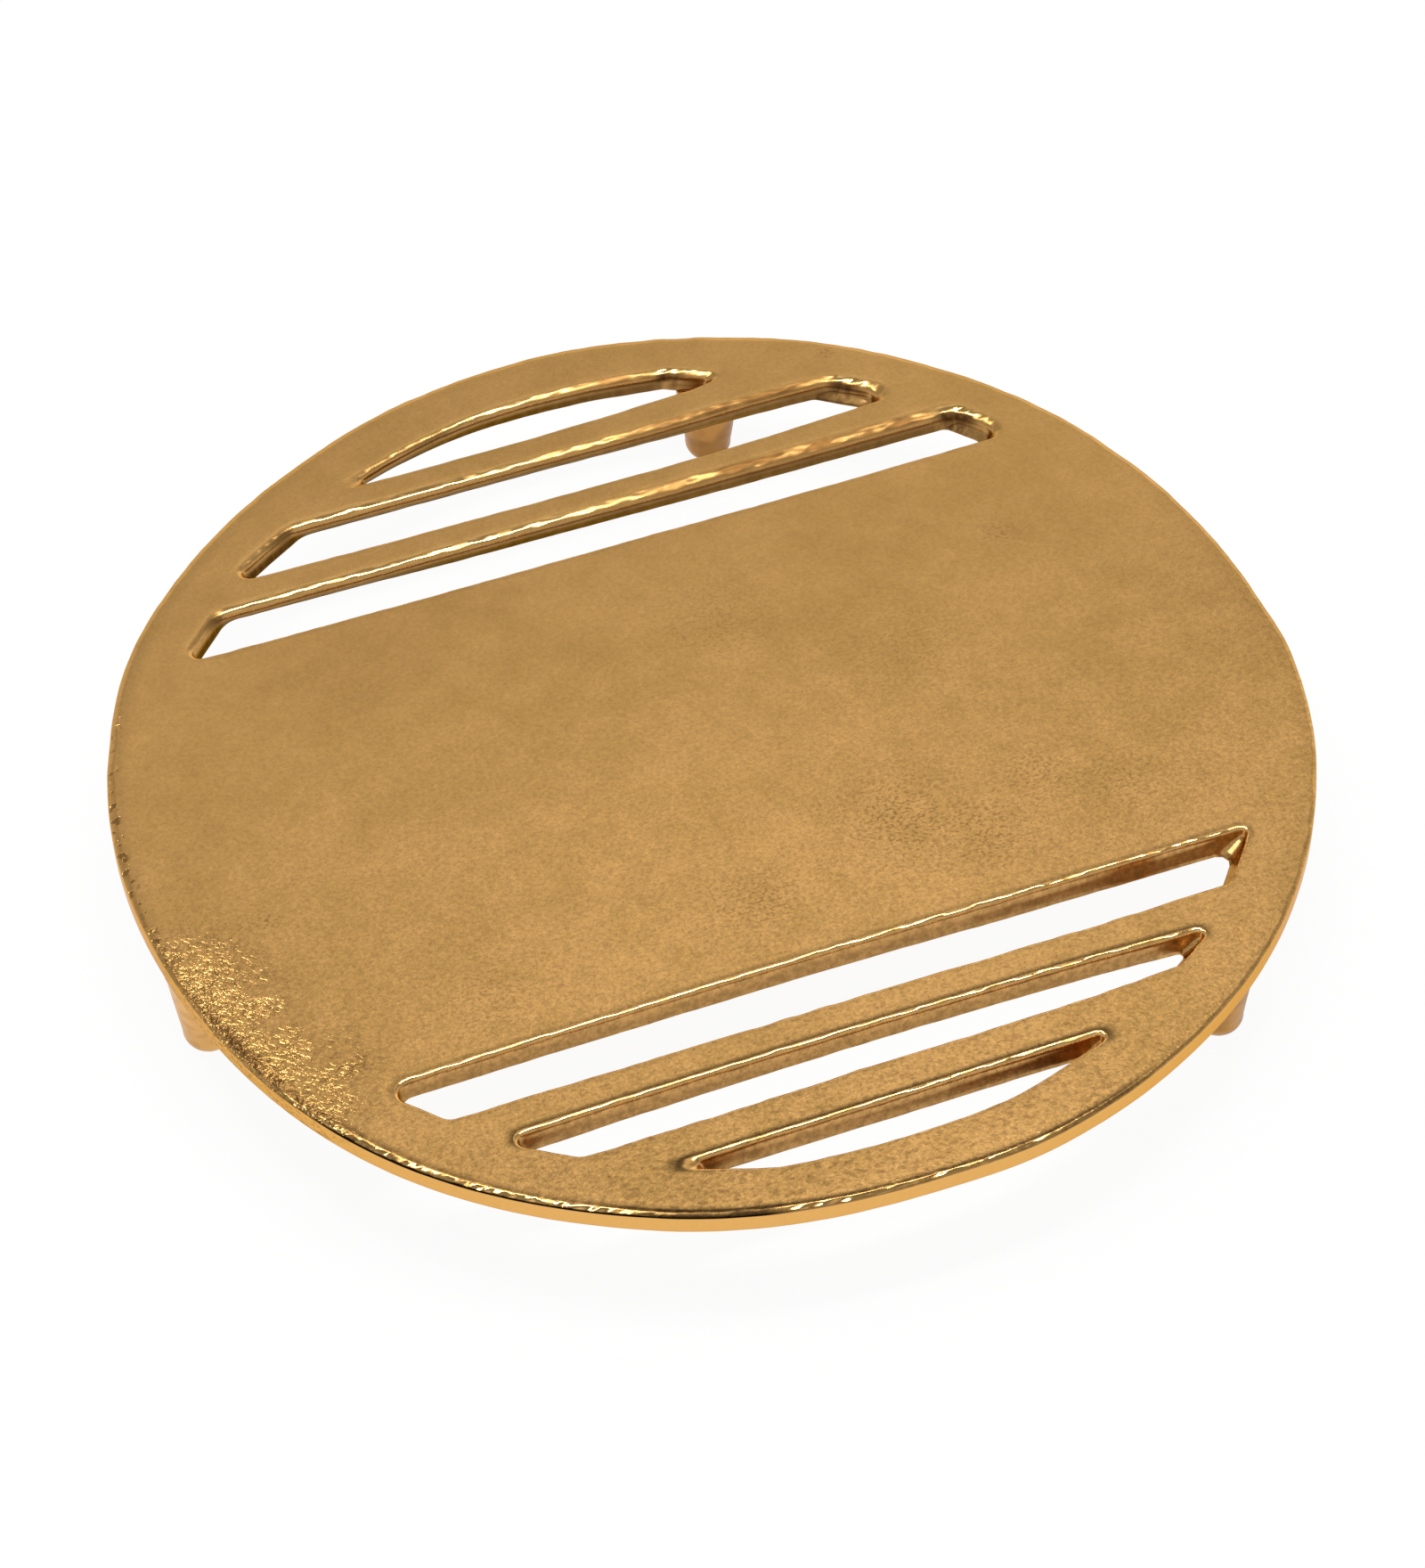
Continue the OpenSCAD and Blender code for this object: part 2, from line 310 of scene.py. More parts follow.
class Slot:
    """One slot, drawn by its corners."""

    def __init__(self, rows, edge, edge_drop, dark, line):
        rows = np.array(rows) * MM
        self.corners = rows[:, :2]
        self.radii = rows[:, 2:4]
        self.reach = rows[:, 4]
        self.draft = rows[:, 5]
        self.edge = Edge(edge)
        self.edge_drop = edge_drop * MM
        self.line = line
        self.dark = dark
        self.middle_y = self.corners[:, 1].mean()
        self.right_x = self.corners[:, 0].max()
        along = np.roll(self.corners, -1, axis=0) - self.corners
        self.along = along / np.linalg.norm(along, axis=1)[:, None]
        self.outward = np.column_stack([self.along[:, 1], -self.along[:, 0]])
        before = np.roll(self.along, 1, axis=0)
        cross = before[:, 0] * self.along[:, 1] - before[:, 1] * self.along[:, 0]
        self.turn = np.arctan2(cross, np.sum(before * self.along, axis=1))
        # The first ring settles how many points every later ring has
        self.counts = None
        self.ring(self.reach * 0, 0)

    def moved_corners(self, grow):
        """The corners after every side has moved outwards by its own amount."""
        corners = []
        for i, corner in enumerate(self.corners):
            first, second = self.outward[i - 1], self.outward[i]
            if abs(self.turn[i]) < SOFT_BEND:
                corners.append(corner + 0.5 * (first * grow[i - 1] + second * grow[i]))
            else:
                shift = np.linalg.solve(np.array([first, second]), [grow[i - 1], grow[i]])
                corners.append(corner + shift)
        return np.array(corners)

    def trims(self, lengths, grow, depth):
        """How much of its two sides each corner's round takes, and that round's radius."""
        trims, radii = [], []
        for i, turn in enumerate(self.turn):
            bend = math.tan(max(abs(turn), 1e-4) / 2)
            room = 0.46 * min(lengths[i - 1], lengths[i])
            radius = self.radii[i][0] * (1 - depth) + self.radii[i][1] * depth
            radius = max(radius + 0.5 * (grow[i - 1] + grow[i]), SMALLEST_CORNER_R)
            if self.radii[i][0] == 0:
                radius = room / bend
            trims.append(min(radius * bend, room))
            radii.append(trims[-1] / bend)
        return trims, radii

    def count_points(self, lengths, trims, radii):
        """Points in each corner's round and on the side after it."""
        n = len(trims)
        counts = []
        for i in range(n):
            straight = lengths[i] - trims[i] - trims[(i + 1) % n]
            curve = abs(radii[i] * self.turn[i])
            step = LOOP_STEP if self.radii[i][0] == 0 else TURN_STEP
            counts.append((max(3, round(curve / step)), max(1, round(straight / LOOP_STEP))))
        return counts

    def ring(self, grow, depth):
        """Points round the slot, with each side moved out by grow, rounded as at that depth."""
        n = len(self.corners)
        corners = self.moved_corners(grow)
        lengths = np.linalg.norm(np.roll(corners, -1, axis=0) - corners, axis=1)
        trims, radii = self.trims(lengths, grow, depth)
        if self.counts is None:
            self.counts = self.count_points(lengths, trims, radii)
        points = []
        for i in range(n):
            curve_count, line_count = self.counts[i]
            way_in = corners[i] - corners[i - 1]
            way_in /= np.linalg.norm(way_in)
            way_out = corners[(i + 1) % n] - corners[i]
            way_out /= np.linalg.norm(way_out)
            cross = way_in[0] * way_out[1] - way_in[1] * way_out[0]
            turn = math.atan2(cross, float(np.dot(way_in, way_out)))
            trim = trims[i]
            radius = trim / math.tan(turn / 2) if abs(turn) > 1e-5 else 0
            left = np.array([-way_in[1], way_in[0]])
            start = corners[i] - way_in * trim
            middle = start + left * radius
            for k in range(curve_count):
                if radius:
                    points.append(middle - radius * turned(left, turn * k / curve_count))
                else:
                    points.append(start + way_in * (2 * trim * k / curve_count))
            line_start = corners[i] + way_out * trim
            line_end = corners[(i + 1) % n] - way_out * trims[(i + 1) % n]
            for k in range(line_count):
                points.append(line_start + (line_end - line_start) * k / line_count)
        return np.array(points)


SLOTS = [Slot(*row) for row in SLOT_ROWS]


def inside_loop(points, loop):
    """True for the points inside a closed loop."""
    x, y = points[:, 0], points[:, 1]
    inside = np.zeros(len(points), bool)
    for (x0, y0), (x1, y1) in zip(loop, np.roll(loop, -1, axis=0)):
        if y0 == y1:
            continue
        crosses = (y0 > y) != (y1 > y)
        inside ^= crosses & (x < (x1 - x0) * (y - y0) / (y1 - y0) + x0)
    return inside


# Mesh of the disc

# Masks on the disc's points, each from 0 to 1: lean of the face, the rim's side, painted shade, black
# lines of painted shade on edges, dents on them, casting runs with painted shade under their crest,
# polish by wear, and edges that stayed dull and are painted darker as shade
DISC_MASKS = ("lean", "side", "dark", "soot", "nicks", "runs", "wear", "dull")


def write_mask(mesh, name, values):
    layer = mesh.attributes.new(name, "FLOAT", "POINT")
    layer.data.foreach_set("value", values.astype(np.float32))


class MeshParts:
    """Points and faces gathered ring by ring, with masks on the points."""

    def __init__(self):
        self.points = []
        self.faces = []
        self.masks = {name: [] for name in DISC_MASKS}
        self.total = 0

    def add(self, points, **masks):
        first = self.total
        self.points.append(np.asarray(points, float))
        self.total += len(points)
        for name, rows in self.masks.items():
            rows.append(np.zeros(len(points)) + masks.get(name, 0))
        return np.arange(first, self.total)

    def bridge(self, upper, lower):
        """Quads between two closed rings of the same length."""
        self.faces += list(zip(upper, np.roll(upper, -1), np.roll(lower, -1), lower))

    def fill(self, outer, holes, inner_points, z_of, flip):
        """Triangles between one outer ring and several hole rings, through inner points."""
        rings = [outer] + holes
        points = np.concatenate(self.points)
        ring_xy = [points[ring][:, :2] for ring in rings]
        flat = np.concatenate(ring_xy + [inner_points])
        inner_ids = self.add(np.column_stack([inner_points, z_of(inner_points)]))
        own_ids = np.concatenate(rings + [inner_ids])
        loops = []
        first = 0
        for ring, xy in zip(rings, ring_xy):
            loop = list(range(first, first + len(ring)))
            after = np.roll(xy, -1, axis=0)
            turns_left = np.sum(xy[:, 0] * after[:, 1] - after[:, 0] * xy[:, 1]) > 0
            loops.append(loop if turns_left else loop[::-1])
            first += len(ring)
        found = geometry.delaunay_2d_cdt([Vector(p) for p in flat], [], loops, 1, 1e-9)
        _, _, triangles, source, _, held_by = found
        for triangle, loops_around in zip(triangles, held_by):
            if list(loops_around) != [0]:
                continue
            corners = [own_ids[source[i][0]] for i in triangle]
            self.faces.append(tuple(reversed(corners)) if flip else tuple(corners))

    def mesh(self, title):
        points = np.concatenate(self.points)
        mesh = bpy.data.meshes.new(title)
        mesh.from_pydata(points.tolist(), [], [tuple(int(i) for i in f) for f in self.faces])
        for name, rows in self.masks.items():
            write_mask(mesh, name, np.concatenate(rows))
        mesh.validate()
        mesh.shade_smooth()
        return mesh


def rim_rings(parts):
    """Rings of the disc's outside, from the top's margin down to the underside's margin."""
    count = round(2 * math.pi * PLATE_R / LOOP_STEP)
    angle = np.arange(count) * 360 / count
    turn = np.radians(angle)
    reach = around(RIM_ROUND, angle, 1)
    drop = around(RIM_ROUND, angle, 2)

    def ring(inset, z, **masks):
        r = rim_radius(angle) - inset
        return parts.add(np.column_stack([r * np.cos(turn), r * np.sin(turn), z]), **masks)

    rings = []
    above, on, below, nicks = (around(RIM_TRACES, angle, column) for column in (3, 4, 5, 6))
    for margin, share in RIM_MARGINS:
        inset = reach + margin
        z = TOP_Z - rim_sink(angle, inset)
        # The dark band just inside the rim is painted shade
        rings.append(ring(inset, z, dark=rim_band(angle, inset), soot=above * share))
    edge = Edge(RIM_EDGE)
    for inset_share, drop_share, lean in zip(edge.inset, edge.drop, edge.lean):
        inset = reach * inset_share
        z = TOP_Z - rim_sink(angle, inset) - drop * drop_share
        # Black lines above, on and below the crest are painted shade
        soot = above if lean < 0.05 else 0.9 * on if lean < 0.3 else below
        soot = soot * (lean < 0.9)
        dark = rim_band(angle, inset) * (1 - lean)
        traces = {"soot": soot, "dark": dark, "nicks": nicks, "wear": nicks}
        rings.append(ring(inset, z, lean=lean, side=lean ** 3, **traces))
    side_top = z
    for part in SIDE_PARTS:
        z = side_top * (1 - part) + (UNDER_Z + UNDER_ROUND) * part
        rings.append(ring(np.zeros(count), z, lean=1, side=1))
    for i in range(RIM_UNDER_STEPS + 1):
        lean = math.radians(90 * i / RIM_UNDER_STEPS)
        z = np.full(count, UNDER_Z + UNDER_ROUND * (1 - math.sin(lean)))
        inset = np.full(count, UNDER_ROUND * (1 - math.cos(lean)))
        rings.append(ring(inset, z, lean=1, side=math.cos(lean)))
    for upper, lower in zip(rings, rings[1:]):
        parts.bridge(lower, upper)
    return rings[0], rings[-1]


def rim_band(angle, from_rim):
    """How dark the band of painted shade is at a distance in from the rim."""
    strength, width = around(RIM_TRACES, angle, 1), around(RIM_TRACES, angle, 2)
    return strength * smooth((width - from_rim) / (0.5 * width)) * smooth((from_rim - 0.0003) / 0.0006)


def right_half(xy):
    """0 on the left of the disc and 1 on the right, eased across the middle."""
    return smooth((xy[:, 0] + 0.02) / 0.05)


def slot_traces(slot, xy, down, lean, soot, fade):
    """Masks along one ring of a slot, at a share of the way down its wall."""
    far_row = slot.middle_y > 0
    right = right_half(xy)
    far_right = far_row * right
    way = np.roll(xy, -1, axis=0) - np.roll(xy, 1, axis=0)
    leftwards = -way[:, 1] / np.hypot(way[:, 0], way[:, 1])
    far_side = smooth((xy[:, 1] - slot.middle_y) / 0.003)
    right_end = smooth((xy[:, 0] - slot.right_x + 0.011) / 0.003)
    left_end = smooth((leftwards - 0.15) / 0.12) * far_side * far_row
    # Right ends of the far slots: casting runs, and painted shade just under their crest
    runs = right_end * far_side * far_row
    # Painted shade: walls darker towards their foot and at the far slots' left ends
    dark = slot.dark * smooth((down - 0.18) / 0.50) * (1 - 0.6 * right_end) * (1 - 0.2 * far_right)
    dark = np.maximum(dark, 0.7 * left_end * smooth((lean - 0.10) / 0.25))
    under_crest = smooth((lean - 0.22) / 0.12) * smooth((0.75 - down) / 0.35)
    wear = (0.9 - 0.15 * far_row) * (1 - far_right) * (1 - left_end)
    return {
        "dark": np.maximum(dark, 0.85 * runs * under_crest) * fade,
        "soot": soot * far_side,
        "runs": runs,
        "nicks": 0.25 + 0.05 * far_row + 0.35 * right,
        "wear": np.maximum(wear, runs) * far_side,
        "dull": far_right * far_side * (1 - runs),
    }


def slot_rings(parts, slot):
    """Rings of one slot, from the top face's edge down the wall to the underside."""
    rings = []
    wall_low = UNDER_Z + UNDER_ROUND
    far_row = slot.middle_y > 0

    def ring(grow, z_of, depth, lean=0, soot=0, fade=1):
        xy = slot.ring(grow, depth)
        z = z_of(slot.edge_drop * (1 + 0.4 * (far_row * right_half(xy))))
        down = (TOP_Z - z) / (TOP_Z - wall_low)
        traces = slot_traces(slot, xy, down, lean, soot, fade)
        rings.append(parts.add(np.column_stack([xy, z]), lean=lean, **traces))

    ring(slot.reach + SLOT_MARGIN, lambda drop: TOP_Z + 0 * drop, 0)
    for inset_share, drop_share, lean in zip(slot.edge.inset, slot.edge.drop, slot.edge.lean):
        # A black line of painted shade along the top of the edge
        soot = slot.line if lean < 0.12 else 0
        ring(slot.reach * inset_share, lambda drop: TOP_Z - drop * drop_share, 0, lean, soot=soot)
    for part in WALL_PARTS:
        ring(
            -slot.draft * part,
            lambda drop: (TOP_Z - drop) * (1 - part) + wall_low * part,
            part, lean=1,
        )
    for i in range(1, SLOT_UNDER_STEPS + 1):
        lean = math.radians(90 * i / SLOT_UNDER_STEPS)
        grow = UNDER_ROUND * (1 - math.cos(lean)) - slot.draft
        low = UNDER_Z + UNDER_ROUND * (1 - math.sin(lean))
        ring(grow, lambda drop: low + 0 * drop, 1, lean=1, fade=math.cos(lean))
    for upper, lower in zip(rings, rings[1:]):
        parts.bridge(upper, lower)
    return rings[0], rings[-1]


def grid_points(step):
    """Staggered points over the whole disc."""
    rows = int(PLATE_R / step) + 2
    found = []
    for j in range(-rows, rows + 1):
        shift = 0.5 * step * (j % 2)
        xs = np.arange(-rows, rows + 1) * step + shift
        found.append(np.column_stack([xs, np.full(len(xs), j * step * 0.866)]))
    return np.concatenate(found)


def rough_zone(points):
    """0 to 1: how much a place belongs to the coarse zone beside the left rim."""
    angle = np.mod(plan_angle(points), 360)
    radius = plan_radius(points)
    along = smooth((angle - ROUGH_FROM + 5) / ROUGH_FADE)
    along = along * smooth((ROUGH_TO + 4 - angle) / ROUGH_FADE)
    return along * smooth((radius - ROUGH_INNER_R) / ROUGH_FADE_R)


def rim_dimples(points):
    """0 to 1: where small dark dimples lie beside the left rim."""
    angle = np.mod(plan_angle(points), 360)
    from_rim = rim_radius(angle) - plan_radius(points)
    along = smooth((angle - DIMPLES_FROM) / 15) * smooth((DIMPLES_TO - angle) / 8)
    return along * smooth(from_rim / 0.0006) * smooth((0.0020 - from_rim) / 0.0008)


def clear_of(points, loops, gap):
    """The points that lie further than gap from every point of the loops."""
    tree = kdtree.KDTree(sum(len(loop) for loop in loops))
    for i, p in enumerate(itertools.chain(*loops)):
        tree.insert((p[0], p[1], 0), i)
    tree.balance()
    keep = [tree.find((p[0], p[1], 0))[2] > gap for p in points]
    return points[np.array(keep)]


def face_points(parts, rings, step, inset):
    """Grid points on the metal between the rings."""
    points = grid_points(step)
    loops = [np.concatenate(parts.points)[ring] for ring in rings]
    keep = plan_radius(points) < rim_radius(plan_angle(points)) - inset
    for loop in loops[1:]:
        keep &= ~inside_loop(points, loop[:, :2])
    return clear_of(points[keep], loops, 0.6 * step)


def build_plate():
    parts = MeshParts()
    rim_top, rim_under = rim_rings(parts)
    slot_tops, slot_unders = zip(*(slot_rings(parts, slot) for slot in SLOTS))

    top = face_points(parts, [rim_top, *slot_tops], TOP_STEP, TOP_MARGIN)
    top = top[rough_zone(top) <= ROUGH_SHARE]
    fine = face_points(parts, [rim_top, *slot_tops], ROUGH_STEP, TOP_MARGIN)
    fine = fine[rough_zone(fine) > ROUGH_SHARE]
    top = np.concatenate([top, fine])
    parts.fill(
        rim_top, list(slot_tops), top,
        lambda p: TOP_Z - rim_sink(plan_angle(p), rim_radius(plan_angle(p)) - plan_radius(p)),
        flip=False,
    )
    under = face_points(parts, [rim_under, *slot_unders], UNDER_STEP, UNDER_MARGIN)
    parts.fill(rim_under, list(slot_unders), under, lambda p: np.full(len(p), UNDER_Z), flip=True)
    mesh = parts.mesh("disc")
    rough_cast(mesh)
    return bpy.data.objects.new("disc", mesh)


def vertex_array(mesh):
    points = np.empty(len(mesh.vertices) * 3)
    mesh.vertices.foreach_get("co", points)
    return points.reshape(-1, 3)


def mask_array(mesh, name):
    values = np.empty(len(mesh.vertices))
    mesh.attributes[name].data.foreach_get("value", values)
    return values


def patch(points, x, y, radius, strength):
    """A soft round patch: its strength at its middle, which is given in millimetres."""
    gap = np.hypot(points[:, 0] - x * MM, points[:, 1] - y * MM) / (radius * MM)
    return strength * np.exp(-gap ** 2)


def rough_cast(mesh):
    """Moves every point along its normal, as a sand casting strays from its pattern."""
    points = vertex_array(mesh)
    normals = np.empty(len(points) * 3)
    mesh.vertices.foreach_get("normal", normals)
    normals = normals.reshape(-1, 3)
    lean, side = mask_array(mesh, "lean"), mask_array(mesh, "side")
    edge = np.sin(np.pi * lean)
    clumps = np.clip(0.85 + 0.8 * lattice_noise(points, 0.0035, 7), 0, 1)
    coarse = rough_zone(points) * clumps
    shift = np.zeros(len(points))
    for size, seed, on_flat, on_edge, on_wall in CAST_WAVES:
        shift += (on_flat + on_edge * edge + on_wall * lean) * lattice_noise(points, size, seed)
    wrinkle = np.abs(lattice_noise(points, 0.0023, 5))
    wrinkle = wrinkle + 0.7 * np.abs(lattice_noise(points, 0.0013, 6))
    shift -= WRINKLE_DEPTH * coarse * (1 - lean) * wrinkle
    shift *= 1 - 0.7 * side
    points += normals * shift[:, None]
    mesh.vertices.foreach_set("co", points.ravel())
    top_marks = np.zeros(len(points))
    for row in MARKS:
        top_marks = np.maximum(top_marks, patch(points, *row))
    # Broad patches of painted light and shade, with some real drift of tone
    tone = sum(patch(points, x, y, radius, lighter) for x, y, radius, lighter in LIGHT_AND_TONE_PATCHES)
    new_masks = {
        "coarse": coarse, "marks": top_marks, "tone": tone,
        "dimples": rim_dimples(points) * (1 - lean),
    }
    for name, values in new_masks.items():
        write_mask(mesh, name, values)
    mesh.update()


# Mesh of a foot

def foot_outline(flare):
    """Radius and height up one foot: flat, rounded end, straight taper, flare, buried top."""
    end_r = FOOT_END_R - FOOT_FLAT_R
    rise = UNDER_Z - end_r
    run = FOOT_TOP_R - FOOT_FLAT_R
    lean = math.atan2(run, rise) - math.asin(end_r / math.hypot(run, rise))
    outline = [(FOOT_FLAT_R * share, 0.0) for share in (0.0, 0.5, 1.0)]
    for i in range(1, FOOT_END_STEPS + 1):
        turn = (math.pi / 2 + lean) * i / FOOT_END_STEPS
        outline.append((FOOT_FLAT_R + end_r * math.sin(turn), end_r * (1 - math.cos(turn))))
    low_r, low_z = outline[-1]
    for i in range(1, FOOT_TAPER_STEPS + 1):
        z = low_z + (UNDER_Z - low_z) * i / FOOT_TAPER_STEPS
        r = low_r + (FOOT_TOP_R - low_r) * i / FOOT_TAPER_STEPS
        near_top = min(1, max(0, 1 - (UNDER_Z - z) / flare))
        r += flare * (1 - math.sqrt(1 - near_top ** 2))
        outline.append((r, z))
    top_r = outline[-1][0]
    outline += [(top_r * share, UNDER_Z + FOOT_BURIED) for share in (1.0, 0.98, 0.7, 0.35, 0.0)]
    return outline


def build_foot(name):
    """A foot turned from its outline, slightly uneven, with its round end on the table."""
    low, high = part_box(name)
    middle = ((low[0] + high[0]) / 2, (low[1] + high[1]) / 2)
    flare, painted_shade = FEET[name]
    outline = foot_outline(flare)
    rings = outline[1:-1]
    points = [(middle[0], middle[1], outline[0][1])]
    for r, z in rings:
        for i in range(FOOT_SIDES):
            turn = 2 * math.pi * i / FOOT_SIDES
            points.append((middle[0] + r * math.cos(turn), middle[1] + r * math.sin(turn), z))
    points.append((middle[0], middle[1], outline[-1][1]))
    points = np.array(points)
    faces = []
    for i in range(FOOT_SIDES):
        after = (i + 1) % FOOT_SIDES
        faces.append((0, 1 + after, 1 + i))
        last = 1 + (len(rings) - 1) * FOOT_SIDES
        faces.append((last + i, last + after, len(points) - 1))
        for j in range(len(rings) - 1):
            low_row = 1 + j * FOOT_SIDES
            high_row = low_row + FOOT_SIDES
            faces.append((low_row + i, low_row + after, high_row + after, high_row + i))
    sway = 0.00012 * lattice_noise(points, 0.009, 11) + 0.00003 * lattice_noise(points, 0.003, 12)
    held = smooth(points[:, 2] / 0.002)
    outward = points[:, :2] - middle
    outward /= np.maximum(np.hypot(*outward.T), 1e-6)[:, None]
    points[:, :2] += outward * (sway * held)[:, None]
    keep_inside_rim(points)
    mesh = bpy.data.meshes.new(name + "_casting")
    mesh.from_pydata(points.tolist(), [], faces)
    mesh.validate()
    mesh.shade_smooth()
    write_mask(mesh, "painted_shade", np.full(len(mesh.vertices), painted_shade))
    return bpy.data.objects.new(name + "_casting", mesh)


def keep_inside_rim(points):
    """Pulls a foot's flare back to the rim's side, so that the two flow together."""
    limit = rim_radius(plan_angle(points)) - FOOT_CLEAR
    share = np.minimum(1, limit / plan_radius(points))
    points[:, :2] *= share[:, None]


# Materials

def linear(level):
    """A screen level from 0 to 255 as the linear value of a shader."""
    level /= 255
    return level / 12.92 if level <= 0.04045 else ((level + 0.055) / 1.055) ** 2.4


def srgb(red, green, blue):
    return (linear(red), linear(green), linear(blue), 1)


GOLD_WARM = srgb(214, 165, 99)
GOLD_DULL = srgb(201, 155, 90)
GOLD_BRIGHT = srgb(234, 179, 102)
OXIDE = srgb(90, 58, 28)
EDGE_TINT = srgb(238, 212, 172)
GOLD_DEEP = srgb(204, 157, 96)
POLISHED_SHEEN = srgb(240, 190, 116)
GOLD_SHADED = srgb(184, 132, 70)
SHADED_EDGE = srgb(138, 98, 52)
SHADE = srgb(80, 50, 24)
LINE_SHADE = srgb(20, 11, 6)

# Sizes of the cast grain, and how much of the metal its flecks cover
FIELD_GRAIN = {"Pebbles per metre": 1300.0, "Flecks per metre": 2000.0, "Fleck share": 0.35}
PITTED_GRAIN = {"Pebbles per metre": 500.0, "Flecks per metre": 1200.0, "Fleck share": 0.31}
FOOT_GRAIN = {"Pebbles per metre": 500.0, "Flecks per metre": 600.0, "Fleck share": 0.36}
# How strongly the grain shades the top at its near side
GRAIN_SWING = 1.4
# Heights of the bumps in metres: pits, dimples, dents on edges, creases and grain on a foot
PIT_H, DIMPLE_H, NICK_H, CREASE_H, FOOT_GRAIN_H = 0.00010, 0.00018, 0.00030, 0.00038, 0.00008


def add(tree, kind, inputs=None, **settings):
    """A node with its settings and its input values or links."""
    node = tree.nodes.new(kind)
    for name, value in settings.items():
        setattr(node, name, value)
    for key, value in (inputs or {}).items():
        if isinstance(value, bpy.types.NodeSocket):
            tree.links.new(value, node.inputs[key])
        else:
            node.inputs[key].default_value = value
    return node


def maths(tree, operation, *values, clamp=False):
    node = add(tree, "ShaderNodeMath", dict(enumerate(values)), operation=operation, use_clamp=clamp)
    return node.outputs[0]


def times(tree, first, *others):
    for other in others:
        first = maths(tree, "MULTIPLY", first, other)
    return first


def highest(tree, first, *others):
    for other in others:
        first = maths(tree, "MAXIMUM", first, other)
    return first


def without(tree, value):
    """What a share leaves over."""
    return maths(tree, "SUBTRACT", 1.0, value)


def stretched(tree, place, scale):
    return add(tree, "ShaderNodeMapping", {"Vector": place, "Scale": scale}).outputs[0]


def ramp(tree, value, low, high, to_low=0.0, to_high=1.0):
    node = add(
        tree, "ShaderNodeMapRange",
        {"Value": value, "From Min": low, "From Max": high, "To Min": to_low, "To Max": to_high},
        interpolation_type="SMOOTHSTEP",
    )
    return node.outputs["Result"]


def mix(tree, factor, first, second, blend="MIX"):
    node = add(tree, "ShaderNodeMix", data_type="RGBA", blend_type=blend)
    for socket, value in zip((node.inputs[0], node.inputs[6], node.inputs[7]), (factor, first, second)):
        if isinstance(value, bpy.types.NodeSocket):
            tree.links.new(value, socket)
        else:
            socket.default_value = value
    return node.outputs[2]


def noise(tree, where, scale, detail=2.0, roughness=0.5):
    node = add(
        tree, "ShaderNodeTexNoise",
        {"Vector": where, "Scale": scale, "Detail": detail, "Roughness": roughness},
    )
    return node.outputs["Fac"]


def new_group(name, inputs, outputs):
    """An empty shader group with named sockets. Returns its tree, inputs and output node."""
    tree = bpy.data.node_groups.new(name, "ShaderNodeTree")
    for label, kind, value in inputs:
        socket = tree.interface.new_socket(label, in_out="INPUT", socket_type=kind)
        if value is not None:
            socket.default_value = value
    for label, kind in outputs:
        tree.interface.new_socket(label, in_out="OUTPUT", socket_type=kind)
    start = tree.nodes.new("NodeGroupInput")
    end = tree.nodes.new("NodeGroupOutput")
    return tree, start.outputs, end


def cast_grain_group():
    """Pebbled skin of a sand casting: its height, and a mask of its small dark flecks."""
    tree, given, end = new_group(
        "cast_grain",
        [
            ("Place", "NodeSocketVector", None),
            ("Pebbles per metre", "NodeSocketFloat", 700.0),
            ("Flecks per metre", "NodeSocketFloat", 800.0),
            ("Fleck share", "NodeSocketFloat", 0.4),
        ],
        [("Height", "NodeSocketFloat"), ("Flecks", "NodeSocketFloat")],
    )
    pebbles = noise(tree, given["Place"], given["Pebbles per metre"], 2.0, 0.95)
    long = stretched(tree, given["Place"], (0.7, 1.0, 1.0))
    chance = noise(tree, long, given["Flecks per metre"], 0.0, 0.5)
    limit = maths(tree, "ADD", given["Fleck share"], 0.12)
    flecks = ramp(tree, chance, given["Fleck share"], limit, 1.0, 0.0)
    tree.links.new(pebbles, end.inputs["Height"])
    tree.links.new(flecks, end.inputs["Flecks"])
    return tree


def mottle_group():
    """Slow drift between a warm and a dull tone, with finer clouds inside it."""
    tree, given, end = new_group(
        "tone_mottle",
        [
            ("Place", "NodeSocketVector", None),
            ("Warm", "NodeSocketColor", GOLD_WARM),
            ("Dull", "NodeSocketColor", GOLD_DULL),
        ],
        [("Colour", "NodeSocketColor"), ("Clouds", "NodeSocketFloat")],
    )
    slow = noise(tree, given["Place"], 38.0, 2.0, 0.5)
    quick = noise(tree, given["Place"], 150.0, 2.0, 0.6)
    both = maths(tree, "ADD", times(tree, slow, 0.5), times(tree, quick, 0.5))
    clouds = ramp(tree, both, 0.34, 0.66)
    tree.links.new(mix(tree, clouds, given["Dull"], given["Warm"]), end.inputs["Colour"])
    tree.links.new(clouds, end.inputs["Clouds"])
    return tree


def wear_group():
    """Breaks an edge mask into the patches where handling has polished the metal."""
    tree, given, end = new_group(
        "edge_polish",
        [
            ("Place", "NodeSocketVector", None),
            ("Edge", "NodeSocketFloat", 0.0),
        ],
        [("Polish", "NodeSocketFloat"), ("Unworn", "NodeSocketFloat")],
    )
    patches = ramp(tree, noise(tree, given["Place"], 600.0, 1.0, 0.5), 0.36, 0.50)
    tree.links.new(times(tree, given["Edge"], patches), end.inputs["Polish"])
    tree.links.new(without(tree, patches), end.inputs["Unworn"])
    return tree


def place_group(tree, group, inputs):
    return add(tree, "ShaderNodeGroup", inputs, node_tree=group).outputs


